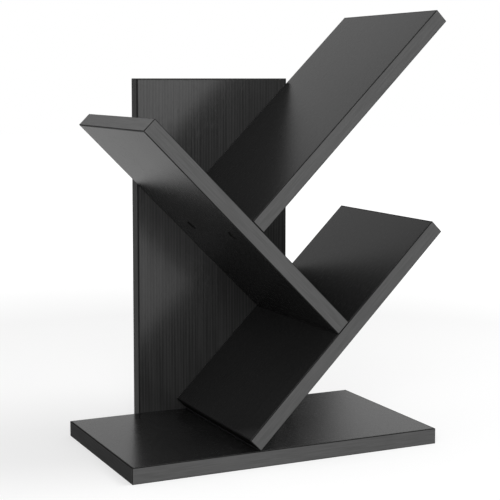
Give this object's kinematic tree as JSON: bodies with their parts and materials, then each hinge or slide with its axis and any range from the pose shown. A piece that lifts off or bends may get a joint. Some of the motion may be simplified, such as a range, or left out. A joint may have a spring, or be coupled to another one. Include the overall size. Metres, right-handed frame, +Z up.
{
  "type": "tree bookshelf",
  "caption": "Desktop bookshelf in the shape of a tree: a flat base, an upright back board and leaning shelves that branch from one another at right angles.",
  "frame": {"origin": "middle of the rectangle that the whole bookshelf covers on the desk, at desk level", "axes": "+X to the right, +Y to the back, where the back board stands, +Z up"},
  "size_m": [0.317, 0.192, 0.4153],
  "materials": {
    "board": "black wood-grain melamine facing, satin",
    "edge_band": "black edge band, satin",
    "screw": "black oxide steel"
  },
  "bodies": {
    "root": {"base_board": "board", "back_board": "board", "lower_right_shelf": "board", "left_shelf": "board", "upper_right_shelf": "board", "base_front_band": "edge_band", "base_rear_band": "edge_band", "base_left_band": "edge_band", "base_right_band": "edge_band", "back_left_band": "edge_band", "back_right_band": "edge_band", "back_bottom_band": "edge_band", "back_top_band": "edge_band", "lower_right_front_band": "edge_band", "lower_right_rear_band": "edge_band", "lower_right_foot_band": "edge_band", "lower_right_tip_band": "edge_band", "left_front_band": "edge_band", "left_rear_band": "edge_band", "left_foot_band": "edge_band", "left_tip_band": "edge_band", "upper_right_front_band": "edge_band", "upper_right_rear_band": "edge_band", "upper_right_foot_band": "edge_band", "upper_right_tip_band": "edge_band", "left_shelf_screws": "screw", "upper_right_shelf_screws": "screw", "base_back_screws": "screw", "lower_right_back_screws": "screw", "left_back_screws": "screw", "upper_right_back_screws": "screw"}
  },
  "joints": []
}
